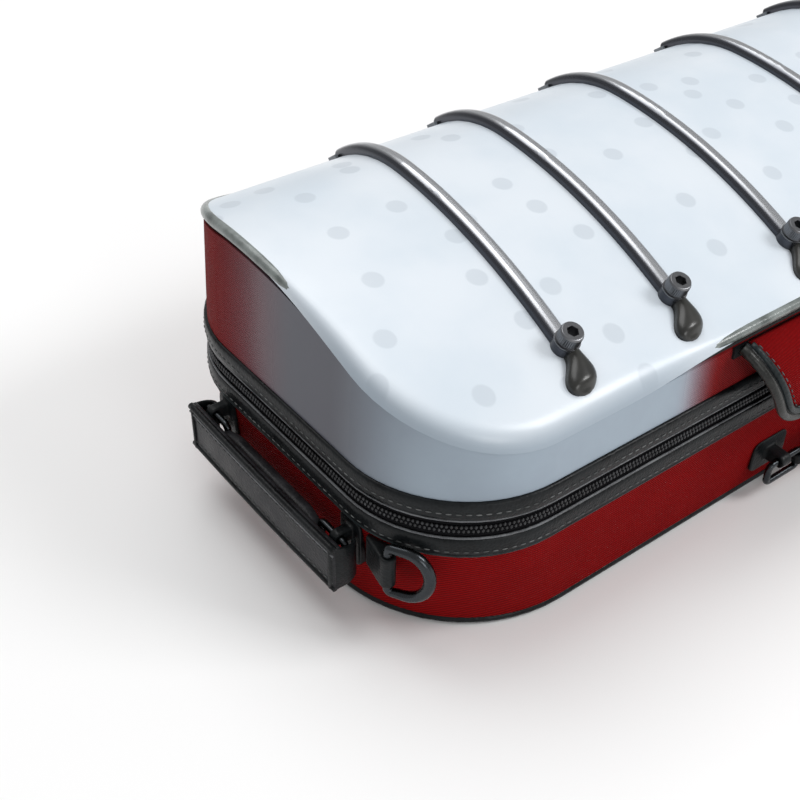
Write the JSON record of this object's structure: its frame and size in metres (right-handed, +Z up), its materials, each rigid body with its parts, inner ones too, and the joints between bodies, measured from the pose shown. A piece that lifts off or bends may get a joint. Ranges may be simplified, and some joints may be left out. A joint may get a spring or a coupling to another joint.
{
  "type": "violin case",
  "caption": "Oblong violin case with an arched ribbed hard lid, zipped canvas base, handles, strap rings, front flap and padded interior.",
  "frame": {"origin": "middle of the flat bottom panel, on the surface the case lies on", "axes": "+X along the case's length towards the end without the handle, -Y out of the front wall with the flap and carrying handle, +Z up through the lid"},
  "size_m": [0.8235, 0.2907, 0.1829],
  "materials": {
    "shell_foam": "matte",
    "hard_top": "gloss",
    "canvas_red": "matte",
    "floor_board": "matte",
    "piping_black": "satin",
    "piping_grey": "satin",
    "leather_black": "satin",
    "leather_teal": "satin",
    "leather_grey": "satin",
    "zip_tape": "matte",
    "zip_coil": "satin",
    "aluminium": "satin",
    "steel_dark": "polished",
    "steel_bright": "polished",
    "rubber_grey": "satin",
    "bracket_grey": "satin",
    "plush": "matte",
    "plush_foam": "matte",
    "brass": "polished"
  },
  "bodies": {
    "base": {"bottom_panel": "floor_board", "base_piping": "piping_black", "base_shell": "shell_foam", "base_cover": "canvas_red", "base_lining": "plush", "lower_binding": "leather_black", "lower_zip_tape": "zip_tape", "lower_zip_coil": "zip_coil", "base_hinge_leaves": "steel_dark", "hinge_pins": "steel_bright", "base_rear_feet": "rubber_grey", "handle_lugs": "leather_black", "end_handle_lugs": "leather_black", "strap_tab_left": "leather_black", "strap_tab_right": "leather_black", "well_block": "plush_foam", "well_cushions": "plush_foam", "neck_cradle": "plush_foam", "neck_strap": "plush", "accessory_box": "plush_foam"},
    "lid": {"lid_shell": "shell_foam", "lid_dome": "shell_foam", "lid_cover": "canvas_red", "lid_top_panel": "hard_top", "lid_piping": "piping_grey", "lid_lining": "plush", "upper_zip_coil": "zip_coil", "upper_zip_tape": "zip_tape", "upper_binding": "leather_black", "rib_1": "aluminium", "rib_2": "aluminium", "rib_3": "aluminium", "rib_4": "aluminium", "rib_5": "aluminium", "rib_6": "aluminium", "rib_7": "aluminium", "rib_pads": "rubber_grey", "rib_screws": "steel_bright", "rib_brackets": "bracket_grey", "lid_hinge_leaves": "steel_dark", "lid_rear_feet": "rubber_grey", "flap_hem": "leather_black", "bow_blocks": "plush_foam", "bow_tip_pockets": "plush_foam"},
    "flap": {"flap_panel": "canvas_red", "flap_binding": "leather_teal"},
    "slider_left": {"slider_left": "steel_bright"},
    "slider_right": {"slider_right": "steel_bright"},
    "pull_left": {"pull_left": "steel_bright"},
    "pull_right": {"pull_right": "steel_bright"},
    "handle": {"handle_grip": "leather_teal", "handle_links": "steel_bright"},
    "end_handle": {"end_handle_grip": "leather_grey", "end_handle_links": "steel_bright"},
    "strap_ring_left": {"strap_ring_left": "steel_dark"},
    "strap_ring_right": {"strap_ring_right": "steel_dark"},
    "accessory_lid": {"accessory_lid": "plush", "accessory_pull": "leather_black"},
    "bow_spinner_front": {"bow_spinner_front": "brass"},
    "bow_spinner_rear": {"bow_spinner_rear": "brass"}
  },
  "joints": [
    {"name": "lid_hinge", "type": "hinge", "parent": "base", "child": "lid", "pos_m": [0, 0.1344, 0.083], "axis": [-1, 0, 0], "range_deg": [0, 100]},
    {"name": "flap_hinge", "type": "hinge", "parent": "lid", "child": "flap", "pos_m": [0, -0.133, 0.128], "axis": [-1, 0, 0], "range_deg": [0, 110]},
    {"name": "zip_slide_left", "type": "slide", "parent": "base", "child": "slider_left", "axis": [-1, 0, 0], "range_m": [0, 0.54]},
    {"name": "zip_slide_right", "type": "slide", "parent": "base", "child": "slider_right", "axis": [1, 0, 0], "range_m": [0, 0.055]},
    {"name": "pull_hinge_left", "type": "hinge", "parent": "slider_left", "child": "pull_left", "pos_m": [0.232, -0.1385, 0.086], "axis": [-1, 0, 0], "range_deg": [0, 160]},
    {"name": "pull_hinge_right", "type": "hinge", "parent": "slider_right", "child": "pull_right", "pos_m": [0.262, -0.1385, 0.086], "axis": [-1, 0, 0], "range_deg": [0, 160]},
    {"name": "handle_swing", "type": "hinge", "parent": "base", "child": "handle", "pos_m": [0, -0.14, 0.0255], "axis": [-1, 0, 0], "range_deg": [0, 110]},
    {"name": "end_handle_swing", "type": "hinge", "parent": "base", "child": "end_handle", "pos_m": [-0.409, 0, 0.056], "axis": [0, 1, 0], "range_deg": [0, 90]},
    {"name": "strap_ring_swing_left", "type": "hinge", "parent": "base", "child": "strap_ring_left", "pos_m": [-0.40005, -0.0926, 0.052], "axis": [0, 0, -1], "range_deg": [0, 110]},
    {"name": "strap_ring_swing_right", "type": "hinge", "parent": "base", "child": "strap_ring_right", "pos_m": [0.40005, -0.0926, 0.052], "axis": [0, 0, 1], "range_deg": [0, 110]},
    {"name": "accessory_lid_hinge", "type": "hinge", "parent": "base", "child": "accessory_lid", "pos_m": [0.2525, 0, 0.0703], "axis": [0, -1, 0], "range_deg": [0, 95]},
    {"name": "bow_spinner_turn_front", "type": "hinge", "parent": "lid", "child": "bow_spinner_front", "pos_m": [0.19, -0.045, 0.13796], "axis": [0, 0, 1], "range_deg": [0, 90]},
    {"name": "bow_spinner_turn_rear", "type": "hinge", "parent": "lid", "child": "bow_spinner_rear", "pos_m": [0.19, 0.045, 0.14937], "axis": [0, 0, 1], "range_deg": [0, 90]}
  ]
}
